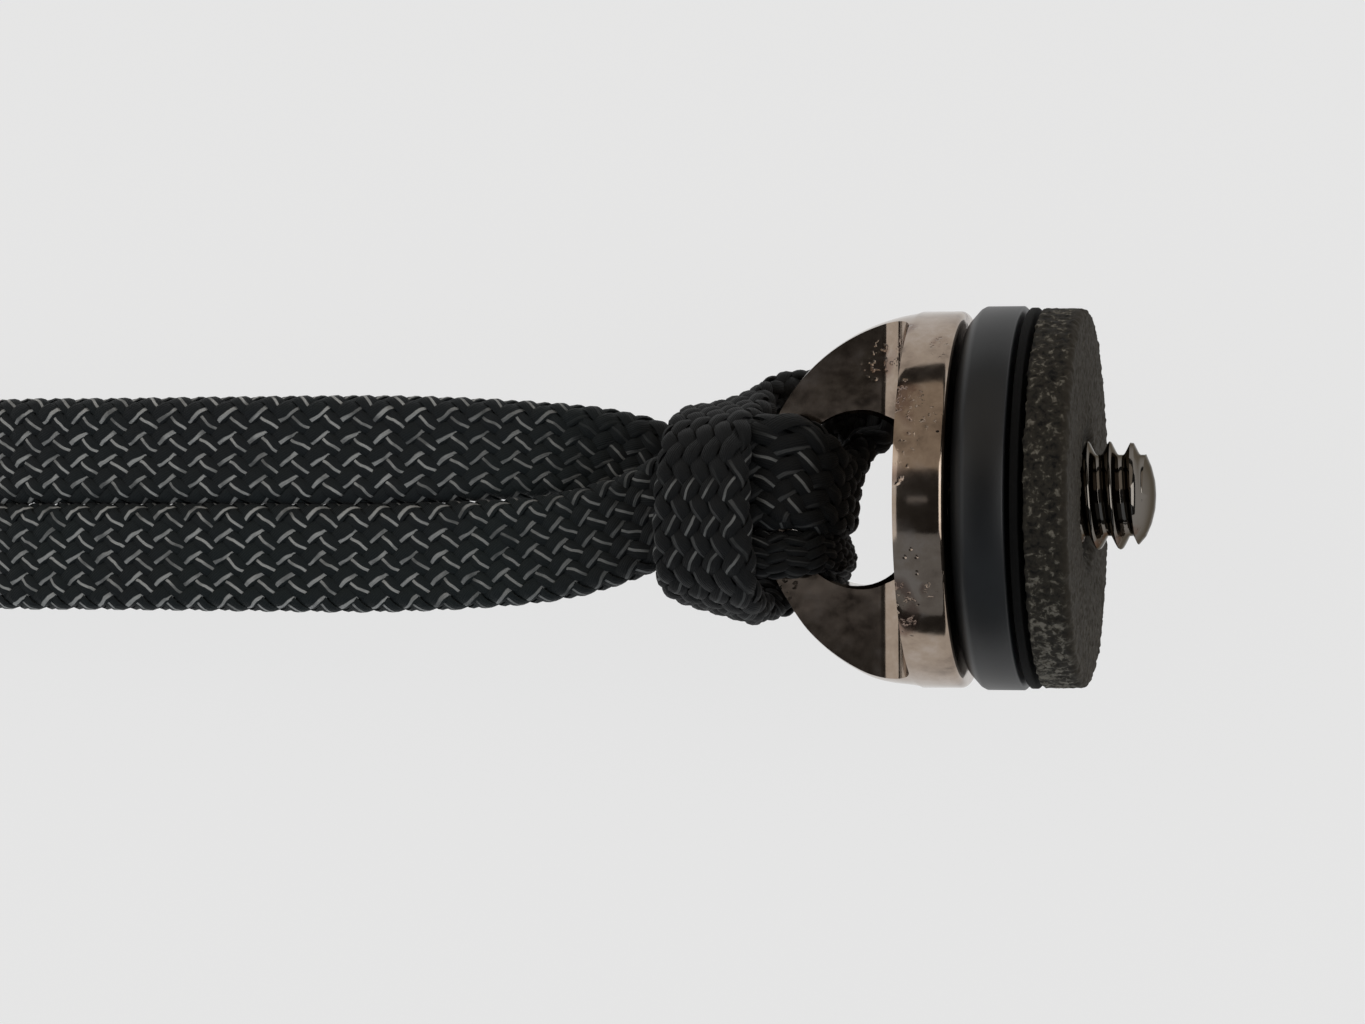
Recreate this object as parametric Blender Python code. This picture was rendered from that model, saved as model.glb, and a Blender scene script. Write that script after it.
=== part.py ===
"""Wrist strap for a monocular: a domed loop stud with a 1/4-20 screw, three discs and a braided loop strap."""

import math

import bmesh
import bpy
from mathutils import Vector

# Driving dimensions, metres. Lengths along the screw are measured from the flange's bearing face, towards the tip.
SCREW_DIAMETER = 0.00635
SCREW_PITCH = 0.00127
SCREW_TIP_CHAMFER = 0.0007
SCREW_REACH = 0.0037
THREAD_START = 0.07
DOME_RADIUS = 0.01094
DOME_CENTRE_BACK = 0.00135
FLANGE_THICKNESS = 0.0029
FLANGE_LEFT_CHAMFER = 0.00033
FLANGE_RIGHT_CHAMFER = 0.0004
SLAB_THICKNESS = 0.0050
SLAB_FILLET = 0.0020
BAR_WIDTH = 0.0022
HOLE_SIDE_WALL = 0.00594
HOLE_BAR_CORNER_SHARE = 0.54
HOLE_FLANGE_CORNER_SHARE = 0.31
SPACER_THICKNESS = 0.0031
SPACER_OVERHANG = 0.00026
SPACER_CHAMFER = 0.00078
GASKET_THICKNESS = 0.00045
GASKET_OVERHANG = 0.00007
WASHER_THICKNESS = 0.0025
WASHER_STEP = 0.0001
WASHER_CORNER = 0.00045
STRAP_WIDTH = 0.00605
STRAP_THICKNESS = 0.00205
STRAP_REACH = 0.1700
WRIST_LOOP_WIDTH = 0.0620
GAP = 0.0003
TURN_STEPS = 64

SPACER_RADIUS = DOME_RADIUS + SPACER_OVERHANG
GASKET_RADIUS = SPACER_RADIUS + GASKET_OVERHANG
WASHER_RADIUS = SPACER_RADIUS - WASHER_STEP
THREAD_DEPTH = 0.6134 * SCREW_PITCH
ROOT_RADIUS = SCREW_DIAMETER / 2 - THREAD_DEPTH
SHANK_RADIUS = SCREW_DIAMETER / 2 - THREAD_DEPTH / 2
BORE_RADIUS = SCREW_DIAMETER / 2 + GAP
SPACER_START = GAP
SPACER_END = SPACER_START + SPACER_THICKNESS
GASKET_START = SPACER_END + GAP
GASKET_END = GASKET_START + GASKET_THICKNESS
WASHER_START = GASKET_END + GAP
WASHER_END = WASHER_START + WASHER_THICKNESS
SCREW_TIP = WASHER_END + SCREW_REACH
DOME_END = -(DOME_CENTRE_BACK + DOME_RADIUS)
HOLE_BAR_SIDE = DOME_END + BAR_WIDTH
HOLE_FLANGE_SIDE = -FLANGE_THICKNESS - GAP / 3
HOLE_HALF_HEIGHT = DOME_RADIUS - HOLE_SIDE_WALL
HOLE_BAR_CORNER = HOLE_BAR_CORNER_SHARE * (HOLE_FLANGE_SIDE - HOLE_BAR_SIDE)
HOLE_FLANGE_CORNER = HOLE_FLANGE_CORNER_SHARE * (HOLE_FLANGE_SIDE - HOLE_BAR_SIDE)
LOOP_END = DOME_END - STRAP_REACH
AXIS_HEIGHT = max(SPACER_RADIUS, GASKET_RADIUS, WASHER_RADIUS)
FRAME_SHIFT = -(LOOP_END + SCREW_TIP) / 2


def in_frame(x, y, z):
    """A point given along the screw, across it and above its axis, moved to the part's own frame."""
    return Vector((x + FRAME_SHIFT, y, z + AXIS_HEIGHT))


def make_material(name, colour, metallic, roughness):
    material = bpy.data.materials.new(name)
    material.use_nodes = True
    shader = material.node_tree.nodes["Principled BSDF"]
    shader.inputs["Base Color"].default_value = (*colour, 1.0)
    shader.inputs["Metallic"].default_value = metallic
    shader.inputs["Roughness"].default_value = roughness
    material.diffuse_color = (*colour, 1.0)
    return material


def finish_mesh(name, bm, material=None, sharp_degrees=35.0):
    """Write the bmesh to a new object with its faces pointing out."""
    bmesh.ops.recalc_face_normals(bm, faces=bm.faces)
    mesh = bpy.data.meshes.new(name)
    bm.to_mesh(mesh)
    bm.free()
    mesh.shade_smooth()
    mesh.set_sharp_from_angle(angle=math.radians(sharp_degrees))
    piece = bpy.data.objects.new(name, mesh)
    bpy.context.scene.collection.objects.link(piece)
    if material is not None:
        mesh.materials.append(material)
    return piece


def turned(profile, steps=TURN_STEPS):
    """Spin an outline of (distance along the screw, radius) pairs about the screw's axis."""
    bm = bmesh.new()
    verts = [bm.verts.new(in_frame(x, 0.0, r)) for x, r in profile]
    edges = [bm.edges.new((a, b)) for a, b in zip(verts, verts[1:])]
    if min(profile[0][1], profile[-1][1]) > 0.0:
        edges.append(bm.edges.new((verts[-1], verts[0])))
    bmesh.ops.spin(
        bm,
        geom=verts + edges,
        cent=in_frame(0.0, 0.0, 0.0),
        axis=(1.0, 0.0, 0.0),
        angle=math.tau,
        steps=steps,
        use_merge=True,
    )
    bmesh.ops.remove_doubles(bm, verts=bm.verts, dist=1e-7)
    return bm


def prism(outline, near, far, place):
    """Extrude a closed outline of pairs from one level to another; place turns (a, b, level) into a point."""
    bm = bmesh.new()
    verts = [bm.verts.new(place(a, b, near)) for a, b in outline]
    face = bm.faces.new(verts)
    raised = bmesh.ops.extrude_face_region(bm, geom=[face])
    moved = [item for item in raised["geom"] if isinstance(item, bmesh.types.BMVert)]
    for vert, (a, b) in zip(moved, outline):
        vert.co = place(a, b, far)
    return bm


def arc(centre_a, centre_b, radius, start, end, steps):
    """Points of an arc, angles in degrees."""
    turns = [math.radians(start + (end - start) * i / steps) for i in range(steps + 1)]
    return [(centre_a + radius * math.cos(t), centre_b + radius * math.sin(t)) for t in turns]


def hide_cutter(cutter):
    cutter.hide_render = True
    cutter.display_type = "WIRE"


def cut(piece, other, operation):
    modifier = piece.modifiers.new(other.name, "BOOLEAN")
    modifier.operation = operation
    modifier.solver = "EXACT"
    modifier.object = other
    hide_cutter(other)


def stud_outline():
    """The turned outline of the dome, the flange and the plain shank, from the dome's pole to the shank's end."""
    last = math.degrees(math.acos((FLANGE_THICKNESS - DOME_CENTRE_BACK) / DOME_RADIUS))
    dome = arc(-DOME_CENTRE_BACK, 0.0, DOME_RADIUS, 180.0, 180.0 - last, 14)
    dome[0] = (dome[0][0], 0.0)
    shank_end = SPACER_START + SPACER_THICKNESS / 2
    return dome + [
        (-FLANGE_THICKNESS + FLANGE_LEFT_CHAMFER, DOME_RADIUS),
        (-FLANGE_RIGHT_CHAMFER, DOME_RADIUS),
        (0.0, DOME_RADIUS - FLANGE_RIGHT_CHAMFER),
        (0.0, SHANK_RADIUS),
        (shank_end, SHANK_RADIUS),
        (shank_end, 0.0),
    ]


def slab_cutter(side):
    """The stock milled off one side of the dome, with a fillet where it runs up to the flange."""
    half = SLAB_THICKNESS / 2
    outline = [(DOME_END - SLAB_FILLET, half), (DOME_END - SLAB_FILLET, DOME_RADIUS + SLAB_FILLET)]
    outline.append((-FLANGE_THICKNESS, DOME_RADIUS + SLAB_FILLET))
    outline += arc(-FLANGE_THICKNESS - SLAB_FILLET, half + SLAB_FILLET, SLAB_FILLET, 0.0, -90.0, 5)
    reach = DOME_RADIUS + SLAB_FILLET
    return prism(outline, -reach, reach, lambda a, b, level: in_frame(a, level, side * b))


def hole_cutter():
    """The loop's opening: square towards the flange, well rounded towards the bar."""
    top = HOLE_HALF_HEIGHT
    near = HOLE_BAR_CORNER
    far = HOLE_FLANGE_CORNER
    outline = arc(HOLE_FLANGE_SIDE - far, top - far, far, 0.0, 90.0, 4)
    outline += arc(HOLE_BAR_SIDE + near, top - near, near, 90.0, 180.0, 7)
    outline += arc(HOLE_BAR_SIDE + near, near - top, near, 180.0, 270.0, 7)
    outline += arc(HOLE_FLANGE_SIDE - far, far - top, far, 270.0, 360.0, 4)
    return prism(outline, -SLAB_THICKNESS, SLAB_THICKNESS, in_frame)


def screw_thread(first, last, steps=28):
    """A right-hand thread as a helical strip about the screw's axis, its two ends closed."""
    crest = SCREW_DIAMETER / 2
    form = ((0.0, ROOT_RADIUS), (0.25, ROOT_RADIUS), (0.5625, crest), (0.6875, crest))
    strip = math.ceil((last - first) / SCREW_PITCH) * steps
    bm = bmesh.new()
    rows = []
    for i in range(strip + steps + 1):
        turn = THREAD_START - math.tau * i / steps
        row = []
        for offset, radius in form if i <= strip else form[:1]:
            along = first + SCREW_PITCH * (i / steps + offset)
            row.append(bm.verts.new(in_frame(along, radius * math.sin(turn), radius * math.cos(turn))))
        rows.append(row)
    for i in range(strip):
        ring = rows[i] + rows[i + steps][:1]
        after = rows[i + 1] + rows[i + steps + 1][:1]
        for k in range(len(form)):
            bm.faces.new((ring[k], ring[k + 1], after[k + 1], after[k]))
    ends = bmesh.ops.holes_fill(bm, edges=bm.edges, sides=0)["faces"]
    bmesh.ops.poke(bm, faces=ends)
    return bm


def screw_envelope(first, last):
    """The bar that the thread is cut from, with its chamfered tip."""
    crest = SCREW_DIAMETER / 2 + GAP
    root = SCREW_DIAMETER / 2 - SCREW_TIP_CHAMFER
    return turned(
        (
            (first, 0.0),
            (first, crest),
            (last - SCREW_TIP_CHAMFER - GAP, crest),
            (last, root),
            (last, 0.0),
        ),
        32,
    )


def make_stud(material):
    stud = finish_mesh("loop_stud", turned(stud_outline()), material)
    thread_first = SPACER_START + SPACER_THICKNESS / 4
    thread = finish_mesh("cut_thread", screw_thread(thread_first - SCREW_PITCH, SCREW_TIP + SCREW_PITCH))
    envelope = finish_mesh("cut_envelope", screw_envelope(thread_first, SCREW_TIP))
    cut(thread, envelope, "INTERSECT")
    for name, side in (("cut_near_side", 1.0), ("cut_far_side", -1.0)):
        cut(stud, finish_mesh(name, slab_cutter(side)), "DIFFERENCE")
    cut(stud, finish_mesh("cut_hole", hole_cutter()), "DIFFERENCE")
    cut(stud, thread, "UNION")
    return stud


def make_discs(plastic, gasket_rubber, grip_rubber):
    finish_mesh(
        "spacer_disc",
        turned(
            (
                (SPACER_START, BORE_RADIUS),
                (SPACER_START, SPACER_RADIUS - SPACER_CHAMFER),
                (SPACER_START + SPACER_CHAMFER, SPACER_RADIUS),
                (SPACER_END, SPACER_RADIUS),
                (SPACER_END, BORE_RADIUS),
            )
        ),
        plastic,
    )
    finish_mesh(
        "gasket_ring",
        turned(
            (
                (GASKET_START, BORE_RADIUS),
                (GASKET_START, GASKET_RADIUS),
                (GASKET_END, GASKET_RADIUS),
                (GASKET_END, BORE_RADIUS),
            )
        ),
        gasket_rubber,
    )
    corner = WASHER_CORNER
    rim = [(WASHER_START, BORE_RADIUS), (WASHER_START, WASHER_RADIUS)]
    rim += arc(WASHER_END - corner, WASHER_RADIUS - corner, corner, 90.0, 0.0, 3)
    rim.append((WASHER_END, BORE_RADIUS))
    finish_mesh("grip_washer", turned(rim), grip_rubber)


def leg_stations(side):
    """One leg of the strap from the wrist loop's far bend to the neck: on edge round the bend, then flat."""
    width = STRAP_WIDTH
    flat = -AXIS_HEIGHT + STRAP_THICKNESS / 2
    edge = -AXIS_HEIGHT + width / 2
    beside = width / 2 + GAP
    across = WRIST_LOOP_WIDTH / 2 - STRAP_THICKNESS / 2
    far = LOOP_END + STRAP_THICKNESS / 2
    reach = STRAP_REACH
    on_edge = (0.0, 0.0, 1.0)
    level = (0.0, side, 0.0)
    rows = (
        (far, 0.0, edge, on_edge),
        (far + 0.035 * reach, 0.50 * across, edge, on_edge),
        (far + 0.110 * reach, 0.86 * across, edge, on_edge),
        (far + 0.210 * reach, across, edge, on_edge),
        (far + 0.310 * reach, 0.92 * across, edge, on_edge),
        (far + 0.420 * reach, 0.68 * across, edge, on_edge),
        (far + 0.520 * reach, 0.42 * across, edge + 0.01 * width, (0.0, 0.45 * side, 0.9)),
        (far + 0.600 * reach, 0.5 * beside + 0.16 * across, flat + 0.30 * width, (0.0, 0.9 * side, 0.45)),
        (far + 0.670 * reach, 1.08 * beside, flat + 0.34 * AXIS_HEIGHT, level),
        (far + 0.730 * reach, beside, flat + 0.62 * AXIS_HEIGHT, level),
        (far + 0.795 * reach, beside, flat + 0.76 * AXIS_HEIGHT, level),
        (far + 0.862 * reach, beside, flat + 0.80 * AXIS_HEIGHT, level),
    )
    return [(x, side * y, z, wide, 1.0, 1.0) for x, y, z, wide in rows]


def strap_stations():
    """The strap's route: point, width direction, and shares of the width and the thickness.

    Each half runs from the far bend along its leg, under the collar, over the front of the bar, through the hole,
    round behind the bar and out beside the dome to the middle of the collar. The lower leg lies over the upper one
    at the neck, so it takes the upper way through the hole.
    """
    width = STRAP_WIDTH
    thick = STRAP_THICKNESS
    front = SLAB_THICKNESS / 2 + GAP + thick / 2
    bar = DOME_END + BAR_WIDTH / 2
    collar = bar - 0.65 * width
    under = (
        (bar - 2.40 * width, 0.47 * width, -0.80 * thick, (0.0, 1.0, -0.12), 0.96, 1.0),
        (bar - 1.62 * width, 0.40 * width, -0.72 * thick, (0.0, 1.0, 0.0), 0.92, 1.0),
        (bar - 1.16 * width, 0.20 * width, -0.44 * thick, (0.0, 1.0, 0.0), 0.78, 0.96),
        (bar - 0.76 * width, -0.22 * width, -0.12 * thick, (0.0, 1.0, 0.0), 0.52, 0.96),
        (bar - 0.42 * width, -0.51 * width, 0.50 * thick, (0.0, 1.0, 0.0), 0.42, 0.96),
        (bar - 0.14 * width, -0.56 * width, front + 0.04 * thick, (0.0, 1.0, 0.0), 0.38, 0.96),
        (bar + 0.20 * width, -0.57 * width, front + 0.08 * thick, (0.0, 1.0, 0.0), 0.40, 0.96),
        (bar + 0.60 * width, -0.50 * width, 0.72 * front, (-0.25, 0.95, 0.0), 0.42, 0.94),
        (bar + 0.72 * width, -0.47 * width, 0.0, (-0.45, 0.90, 0.0), 0.42, 0.94),
        (bar + 0.64 * width, -0.50 * width, -0.66 * front, (-0.5, 0.85, 0.0), 0.44, 0.96),
        (bar + 0.34 * width, -0.66 * width, -1.10 * front, (-0.6, 0.8, 0.0), 0.50, 1.0),
        (bar - 0.08 * width, -0.88 * width, -1.04 * front, (-0.6, 0.8, -0.1), 0.60, 1.0),
        (bar - 0.46 * width, -0.99 * width, -0.55 * front, (-0.9, 0.3, -0.45), 0.74, 1.0),
        (collar, -0.96 * width, 0.30 * front, (-1.0, 0.25, -0.2), 0.88, 1.0),
        (collar, -0.73 * width, front + 0.30 * thick, (-1.0, 0.1, -0.28), 0.94, 1.0),
    )
    over = (
        (bar - 2.40 * width, -0.46 * width, 0.04 * thick, (0.0, -1.0, 0.0), 1.0, 1.0),
        (bar - 1.62 * width, -0.28 * width, 0.46 * thick, (0.0, -1.0, 0.0), 0.98, 1.0),
        (bar - 1.16 * width, -0.16 * width, 0.78 * thick, (0.0, -1.0, 0.0), 0.98, 0.94),
        (bar - 0.76 * width, 0.03 * width, 1.04 * thick, (0.0, -1.0, 0.0), 0.86, 0.92),
        (bar - 0.42 * width, 0.11 * width, 1.54 * thick, (0.0, -1.0, 0.0), 0.88, 0.92),
        (bar - 0.12 * width, 0.13 * width, front + 0.04 * thick, (0.0, -1.0, 0.0), 0.90, 0.94),
        (bar + 0.20 * width, 0.18 * width, front + 0.10 * thick, (-0.1, -1.0, 0.0), 1.03, 0.94),
        (bar + 0.58 * width, 0.24 * width, 0.66 * front, (-0.45, -0.90, 0.0), 0.92, 0.96),
        (bar + 0.71 * width, 0.28 * width, 0.0, (-0.72, -0.69, 0.0), 0.82, 0.96),
        (bar + 0.64 * width, 0.40 * width, -0.66 * front, (-0.7, -0.7, 0.0), 0.72, 1.0),
        (bar + 0.34 * width, 0.68 * width, -1.08 * front, (-0.6, -0.75, 0.0), 0.68, 1.0),
        (bar - 0.08 * width, 0.90 * width, -1.06 * front, (-0.5, -0.85, -0.1), 0.68, 1.05),
        (bar - 0.44 * width, 0.93 * width, -0.55 * front, (-0.85, -0.3, -0.5), 0.76, 1.0),
        (collar, 0.84 * width, 0.26 * front, (-1.0, -0.15, -0.25), 0.86, 1.0),
        (collar, 0.66 * width, front + 0.36 * thick, (-1.0, 0.0, -0.3), 0.94, 1.0),
    )
    middle = (collar, -0.02 * width, front + 0.78 * thick, (-1.0, 0.0, -0.3), 0.96, 1.0)
    upper = leg_stations(1.0) + list(under)
    lower = leg_stations(-1.0) + list(over)
    return upper + [middle] + lower[:0:-1]


def spline(values, i, share):
    """A closed Catmull-Rom spline through the values, after value i."""
    count = len(values)
    p0, p1, p2, p3 = (values[(i + k - 1) % count] for k in range(4))
    square = share * share
    cube = square * share
    return (
        p1 * 2.0
        + (p2 - p0) * share
        + (p0 * 2.0 - p1 * 5.0 + p2 * 4.0 - p3) * square
        + (p1 * 3.0 - p0 - p2 * 3.0 + p3) * cube
    ) * 0.5


def strap_rings(longest):
    """Points, width directions and sizes along the strap, no farther apart than the given length."""
    stations = strap_stations()
    points = [Vector(s[:3]) for s in stations]
    wides = [Vector(s[3]).normalized() for s in stations]
    sizes = [Vector((s[4] * STRAP_WIDTH, s[5] * STRAP_THICKNESS, 0.0)) for s in stations]
    rings = []
    for i, point in enumerate(points):
        span = (points[(i + 1) % len(points)] - point).length
        steps = max(3, math.ceil(span / longest))
        for k in range(steps):
            share = k / steps
            ahead = spline(points, i, share + 0.01) - spline(points, i, share - 0.01)
            wide = spline(wides, i, share)
            wide = (wide - ahead * (wide.dot(ahead) / ahead.length_squared)).normalized()
            rings.append((spline(points, i, share), ahead.normalized(), wide, spline(sizes, i, share)))
    return rings


def make_strap(material, sides=12, fullness=2.8, longest=0.0045):
    """A closed band with a rounded flat section, swept along the strap's route."""
    bm = bmesh.new()
    loops = []
    for point, ahead, wide, size in strap_rings(longest):
        up = ahead.cross(wide)
        loop = []
        for k in range(sides):
            turn = math.tau * k / sides
            across = math.copysign(abs(math.cos(turn)) ** (2.0 / fullness), math.cos(turn)) * size.x / 2
            through = math.copysign(abs(math.sin(turn)) ** (2.0 / fullness), math.sin(turn)) * size.y / 2
            place = point + wide * across + up * through
            loop.append(bm.verts.new(in_frame(*place)))
        loops.append(loop)
    for loop, after in zip(loops, loops[1:] + loops[:1]):
        for k in range(sides):
            n = (k + 1) % sides
            bm.faces.new((loop[k], loop[n], after[n], after[k]))
    return finish_mesh("braided_strap", bm, material, 60.0)


for item in list(bpy.data.objects):
    bpy.data.objects.remove(item)

make_stud(make_material("gunmetal plated metal", (0.09, 0.08, 0.075), 1.0, 0.18))
make_discs(
    make_material("satin black plastic", (0.016, 0.017, 0.019), 0.0, 0.45),
    make_material("black gasket rubber", (0.01, 0.01, 0.01), 0.0, 0.7),
    make_material("speckled grip rubber", (0.03, 0.028, 0.024), 0.0, 0.9),
)
make_strap(make_material("black braided polyester", (0.009, 0.011, 0.012), 0.0, 0.85))
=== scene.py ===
import math

import bmesh
import bpy
import numpy as np
from mathutils import Matrix, Vector


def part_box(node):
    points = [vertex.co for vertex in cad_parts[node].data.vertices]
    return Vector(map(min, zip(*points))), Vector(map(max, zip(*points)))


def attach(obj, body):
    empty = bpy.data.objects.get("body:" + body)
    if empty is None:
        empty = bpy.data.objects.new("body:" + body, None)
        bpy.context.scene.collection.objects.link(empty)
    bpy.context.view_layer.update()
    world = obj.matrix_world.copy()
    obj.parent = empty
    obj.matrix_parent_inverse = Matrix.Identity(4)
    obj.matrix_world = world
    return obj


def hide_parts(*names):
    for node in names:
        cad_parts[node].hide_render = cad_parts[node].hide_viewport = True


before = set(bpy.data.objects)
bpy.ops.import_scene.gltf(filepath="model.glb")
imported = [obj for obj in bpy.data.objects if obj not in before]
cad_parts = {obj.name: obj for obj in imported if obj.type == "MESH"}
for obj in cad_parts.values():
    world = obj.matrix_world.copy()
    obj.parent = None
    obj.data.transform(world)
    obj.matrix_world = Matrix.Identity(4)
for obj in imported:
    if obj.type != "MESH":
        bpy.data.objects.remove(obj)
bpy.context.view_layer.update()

# Shared places, read from the frame: the flange's bearing face and the height of the screw's axis.
gap = 0.0003  # what the solids keep free between two pieces
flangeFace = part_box("spacer_disc")[0][0] - gap
axisHeight = (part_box("gasket_ring")[0][2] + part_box("gasket_ring")[1][2]) / 2
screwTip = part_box("loop_stud")[1][0] - flangeFace
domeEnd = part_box("loop_stud")[0][0] - flangeFace


def place(x, y, z):
    # x runs along the screw from the flange's face, y across it, z above its axis
    return Vector((x + flangeFace, y, z + axisHeight))


def hexColour(code):
    parts = [int(code[i : i + 2], 16) / 255 for i in (0, 2, 4)]
    return (*(p / 12.92 if p <= 0.04045 else ((p + 0.055) / 1.055) ** 2.4 for p in parts), 1.0)


def addNode(tree, kind, settings=None, values=None, links=None):
    node = tree.nodes.new(kind)
    for name, value in (settings or {}).items():
        setattr(node, name, value)
    for name, value in (values or {}).items():
        node.inputs[name].default_value = value
    for name, socket in (links or {}).items():
        tree.links.new(socket, node.inputs[name])
    return node


def setRamp(node, stops):
    ramp = node.color_ramp
    while len(ramp.elements) > 1:
        ramp.elements.remove(ramp.elements[-1])
    ramp.elements[0].position = stops[0][0]
    ramp.elements[0].color = hexColour(stops[0][1])
    for position, code in stops[1:]:
        ramp.elements.new(position).color = hexColour(code)
    return node


def newMaterial(name, roughness, metallic=0.0, **sockets):
    material = bpy.data.materials.new(name)
    material.use_nodes = True
    shader = material.node_tree.nodes["Principled BSDF"]
    shader.inputs["Roughness"].default_value = roughness
    shader.inputs["Metallic"].default_value = metallic
    for socket, value in sockets.items():
        shader.inputs[socket.replace("_", " ")].default_value = value
    return material, material.node_tree, shader


def finishPiece(name, bm, material, node, sharp=30.0):
    bm.normal_update()
    mesh = bpy.data.meshes.new(name)
    bm.to_mesh(mesh)
    bm.free()
    mesh.shade_smooth()
    mesh.set_sharp_from_angle(angle=math.radians(sharp))
    mesh.materials.append(material)
    piece = bpy.data.objects.new(name, mesh)
    bpy.context.scene.collection.objects.link(piece)
    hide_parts(node)
    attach(piece, "root")
    return piece


def arc(centreX, centreR, radius, start, end, steps):
    turns = [math.radians(start + (end - start) * i / steps) for i in range(steps + 1)]
    return [(centreX + radius * math.cos(t), centreR + radius * math.sin(t)) for t in turns]


def turnProfile(profile, steps):
    # spin an outline of (x, radius) pairs once round the screw's axis
    bm = bmesh.new()
    verts = [bm.verts.new(place(x, 0.0, r)) for x, r in profile]
    edges = [bm.edges.new(pair) for pair in zip(verts, verts[1:])]
    if min(profile[0][1], profile[-1][1]) > 0.0:
        edges.append(bm.edges.new((verts[-1], verts[0])))
    bmesh.ops.spin(
        bm, geom=verts + edges, cent=place(0, 0, 0), axis=(1, 0, 0), angle=math.tau, steps=steps, use_merge=True
    )
    bmesh.ops.remove_doubles(bm, verts=bm.verts, dist=1e-7)
    bmesh.ops.recalc_face_normals(bm, faces=bm.faces)
    return bm


def bakeModifiers(piece):
    # keep what the modifiers make, then drop the cutters
    depsgraph = bpy.context.evaluated_depsgraph_get()
    mesh = bpy.data.meshes.new_from_object(piece.evaluated_get(depsgraph))
    cutters = [modifier.object for modifier in piece.modifiers if modifier.type == "BOOLEAN"]
    piece.modifiers.clear()
    piece.data = mesh
    for cutter in cutters:
        bpy.data.objects.remove(cutter)


def addCut(piece, bm, operation="DIFFERENCE"):
    bmesh.ops.recalc_face_normals(bm, faces=bm.faces)
    mesh = bpy.data.meshes.new("cutter")
    bm.to_mesh(mesh)
    bm.free()
    cutter = bpy.data.objects.new("cutter", mesh)
    bpy.context.scene.collection.objects.link(cutter)
    modifier = piece.modifiers.new("cut", "BOOLEAN")
    modifier.operation = operation
    modifier.solver = "EXACT"
    modifier.object = cutter


# ---- camera, floor and light ----

view = {
    "aimX": -0.017,
    "aimY": -0.0008,
    "tilt": 11.3,  # degrees from straight down, towards the screw's tip
    "distance": 0.270,
    "lens": 121.0,
    "sensorWidth": 36.0,
    "clipStart": 0.01,
    "clipEnd": 20.0,
}
camera = bpy.data.objects.new("camera", bpy.data.cameras.new("camera"))
bpy.context.scene.collection.objects.link(camera)
bpy.context.scene.camera = camera
lean = math.radians(view["tilt"])
aim = place(view["aimX"], view["aimY"], 0.0)
back = Vector((math.sin(lean), 0.0, math.cos(lean)))
side = Vector((0, 1, 0)).cross(back)
facing = Matrix((side, (0, 1, 0), back)).transposed().to_4x4()
camera.matrix_world = Matrix.Translation(aim + back * view["distance"]) @ facing
camera.data.lens = view["lens"]
camera.data.sensor_width = view["sensorWidth"]
camera.data.clip_start = view["clipStart"]
camera.data.clip_end = view["clipEnd"]
bpy.context.scene.view_settings.view_transform = "Standard"
print("camera set")

studio = {
    "floorSize": 4.0,
    "floorColour": "5A5A5A",
    "floorGlow": 0.742,
    "roomLight": 0.035,  # the world as the object sees it
    "skyLight": 0.78,  # the world as the camera sees it past the floor's edge
    # name: position round the stud, width along X, height, colour, watts
    "softBoxes": {
        "warmBox": ((0.00, 0.363, 0.344), 1.2, 0.54, "FFF2E2", 0.90),
        "coolBox": ((0.00, -0.366, 0.341), 1.2, 0.50, "EAF4FF", 0.48),
        "topBox": ((-0.112, 0.00, 0.488), 0.026, 0.12, "F4F8FF", 0.0024),
        "leftKey": ((-0.62, 0.05, 0.42), 0.70, 0.7, "FFFFFF", 1.25),
        "rightKey": ((0.62, 0.02, 0.42), 0.50, 0.5, "FFFFFF", 1.6),
    },
}
floorBm = bmesh.new()
bmesh.ops.create_grid(floorBm, x_segments=1, y_segments=1, size=studio["floorSize"])
floorMesh = bpy.data.meshes.new("floor")
floorBm.to_mesh(floorMesh)
floorBm.free()
floor = bpy.data.objects.new("floor", floorMesh)
bpy.context.scene.collection.objects.link(floor)
# Backdrop paper: flat and pale, without gloss. Its own glow makes it as pale as the photograph's ground.
floorPaper, _, floorShader = newMaterial("matt white backdrop paper", 0.95, Specular_IOR_Level=0.1)
floorShader.inputs["Base Color"].default_value = hexColour(studio["floorColour"])
floorShader.inputs["Emission Color"].default_value = (1.0, 1.0, 1.0, 1.0)
floorShader.inputs["Emission Strength"].default_value = studio["floorGlow"]
floorMesh.materials.append(floorPaper)

world = bpy.data.worlds.new("studio")
bpy.context.scene.world = world
world.use_nodes = True
worldTree = world.node_tree
worldTree.nodes["Background"].inputs["Color"].default_value = (1.0, 1.0, 1.0, 1.0)
rayKind = addNode(worldTree, "ShaderNodeLightPath")
roomLevel = addNode(
    worldTree, "ShaderNodeMapRange",
    values={"To Min": studio["roomLight"], "To Max": studio["skyLight"]},
    links={"Value": rayKind.outputs["Is Camera Ray"]},
)
worldTree.links.new(roomLevel.outputs["Result"], worldTree.nodes["Background"].inputs["Strength"])
for name, (spot, wide, high, tint, watts) in studio["softBoxes"].items():
    light = bpy.data.objects.new(name, bpy.data.lights.new(name, "AREA"))
    bpy.context.scene.collection.objects.link(light)
    light.data.shape = "RECTANGLE"
    light.data.size = wide
    light.data.size_y = high
    light.data.color = hexColour(tint)[:3]
    light.data.energy = watts
    light.location = place(*spot)
    light.rotation_euler = (place(0, 0, 0) - light.location).to_track_quat("-Z", "Y").to_euler()
    light.visible_camera = False
print("studio lit")

# ---- loop stud: dome, flange and shank ----

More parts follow.
